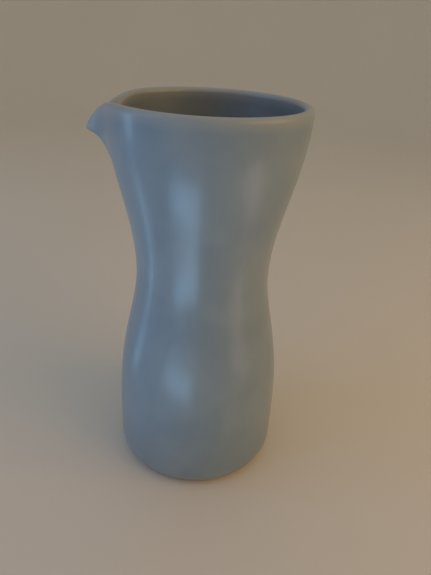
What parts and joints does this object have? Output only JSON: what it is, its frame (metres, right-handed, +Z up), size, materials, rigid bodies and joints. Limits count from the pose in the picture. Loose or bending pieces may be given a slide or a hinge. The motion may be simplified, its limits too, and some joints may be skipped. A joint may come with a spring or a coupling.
{
  "type": "pitcher",
  "caption": "Waisted stoneware pitcher with a pinched, drooping pouring spout, no handle, a recessed foot and a satin grey-blue glaze inside and out.",
  "frame": {"origin": "on the axis of the round vessel, at the level of the table that the foot ring stands on", "axes": "+Z up out of the mouth, the spout points along -X"},
  "size_m": [0.1236, 0.1112, 0.24],
  "materials": {
    "bare_clay": "bare fired stoneware, fine grained and matte",
    "outer_glaze": "satin grey-blue glaze with faint mottling, paler where it thins over the lip",
    "liner_glaze": "satin grey-blue liner glaze"
  },
  "bodies": {
    "root": {"clay_body": "bare_clay", "outer_glaze": "outer_glaze", "inner_glaze": "liner_glaze", "underside_glaze": "outer_glaze"}
  },
  "joints": []
}
